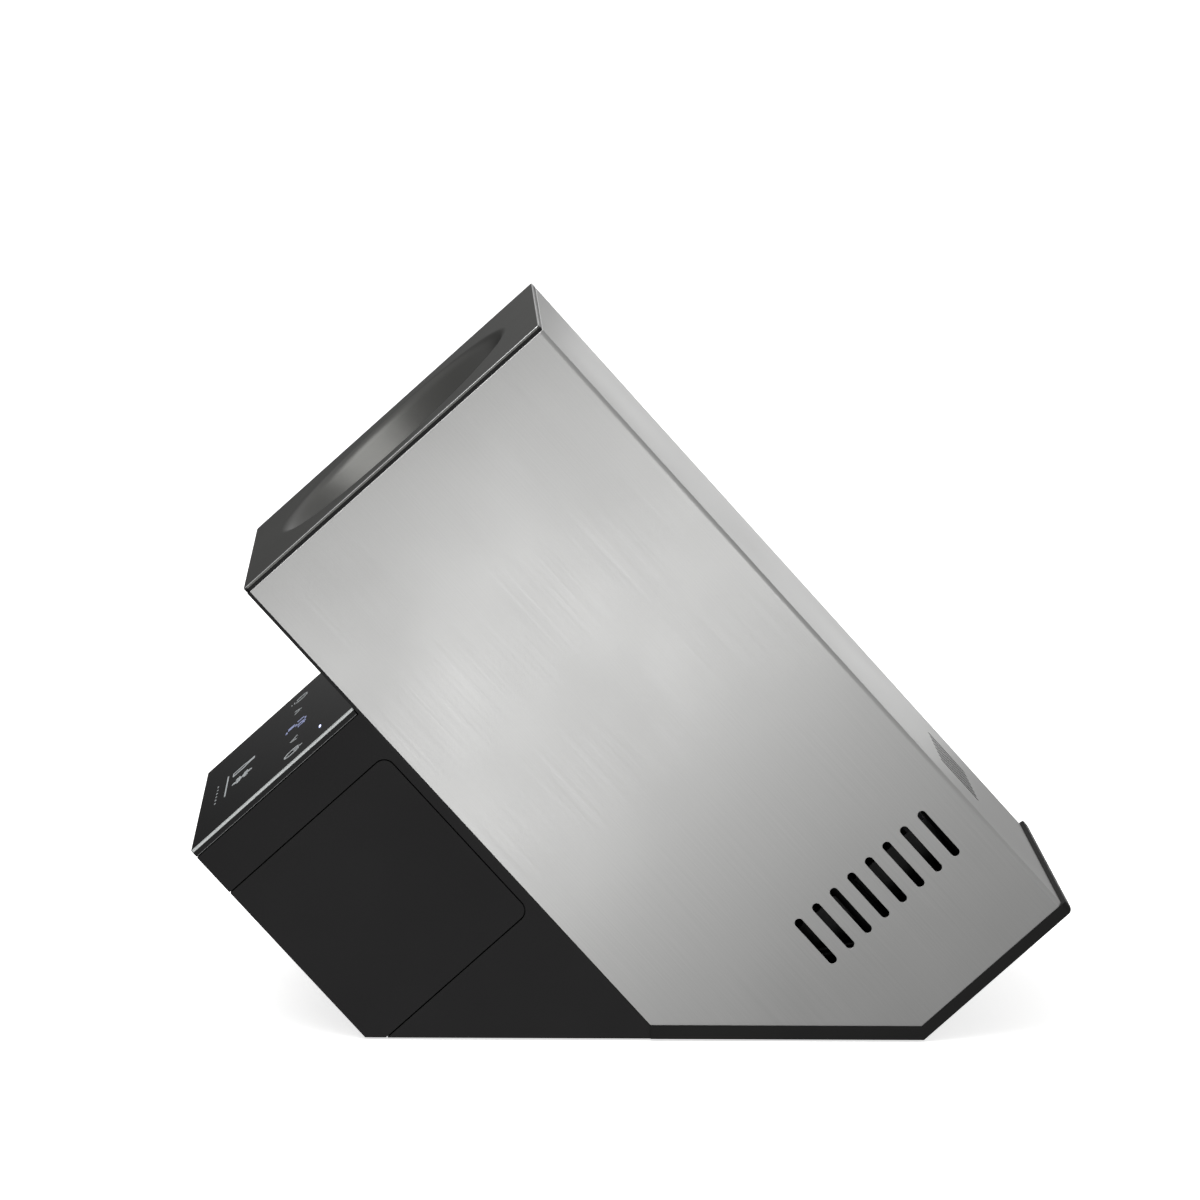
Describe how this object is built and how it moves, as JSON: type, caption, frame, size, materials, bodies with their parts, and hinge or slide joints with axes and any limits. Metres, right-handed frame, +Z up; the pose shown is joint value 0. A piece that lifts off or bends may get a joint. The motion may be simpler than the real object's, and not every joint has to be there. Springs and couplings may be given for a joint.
{
  "type": "wine cooler",
  "caption": "Single-bottle thermoelectric cooler: square steel-jacketed body leaning back on a wedge base, round bottle chamber, touch panel, vent slots and a rear fan.",
  "frame": {"origin": "middle of the footprint's bounding box, on the surface it stands on", "axes": "+Z up, -Y the front with the bottle mouth and the touch panel, +X across"},
  "size_m": [0.1412, 0.3175, 0.2602],
  "materials": {
    "brushed_steel": "brushed along the body, satin",
    "bezel_anthracite": "satin anthracite paint with a polished edge",
    "black_plastic": "fine moulded texture",
    "cap_plastic": "satin",
    "housing_plastic": "fine moulded texture",
    "panel_glass": "black-printed glass, polished edge",
    "liner_aluminium": "black anodised",
    "black_rubber": "matt",
    "foam": "expanded polystyrene beads",
    "bare_aluminium": "machined",
    "sink_aluminium": "black anodised extrusion",
    "ceramic": "alumina ceramic",
    "screw_steel": "zinc plated",
    "black_screw": "black oxide",
    "fan_plastic": "glass-filled",
    "brass": "machined",
    "copper_winding": "enamelled copper",
    "circuit_board": "green solder mask",
    "component_dark": "sleeved",
    "connector_white": "nylon",
    "display_face": "LED display body",
    "led": "lit",
    "wire_jacket": "PVC",
    "ribbon": "grey PVC"
  },
  "bodies": {
    "root": {"steel_jacket": "brushed_steel", "mouth_bezel": "bezel_anthracite", "front_frame": "black_plastic", "belly_panel": "black_plastic", "chamber_liner": "liner_aluminium", "bottle_pad": "black_rubber", "insulation_lower": "foam", "insulation_upper": "foam", "cold_block": "bare_aluminium", "peltier_module": "ceramic", "module_gasket": "black_rubber", "heat_sink": "sink_aluminium", "sink_screws": "screw_steel", "bay_frame": "black_plastic", "fan_frame": "fan_plastic", "fan_bearing": "brass", "fan_stator": "copper_winding", "fan_screws": "black_screw", "rear_cap": "cap_plastic", "rear_cap_screws": "black_screw", "dc_inlet": "black_plastic", "base_housing": "housing_plastic", "housing_screws": "black_screw", "access_cover": "housing_plastic", "cover_screws": "black_screw", "rubber_feet": "black_rubber", "control_frame": "black_plastic", "control_glass": "panel_glass", "touch_board": "circuit_board", "touch_springs": "brass", "display_module": "display_face", "status_led": "led", "main_board": "circuit_board", "board_screws": "screw_steel", "capacitors": "component_dark", "inductor": "copper_winding", "power_transistors": "component_dark", "board_connectors": "connector_white", "temp_sensor": "wire_jacket", "fan_leads": "wire_jacket", "module_leads": "wire_jacket", "inlet_leads": "wire_jacket", "ribbon_cable": "ribbon"},
    "rotor": {"fan_rotor": "fan_plastic", "fan_shaft": "screw_steel"}
  },
  "joints": [
    {"name": "fan_spin", "type": "hinge", "parent": "root", "child": "rotor", "pos_m": [0, 0.08194, 0.0428], "axis": [0, -0.6756, 0.7373], "continuous": true}
  ]
}
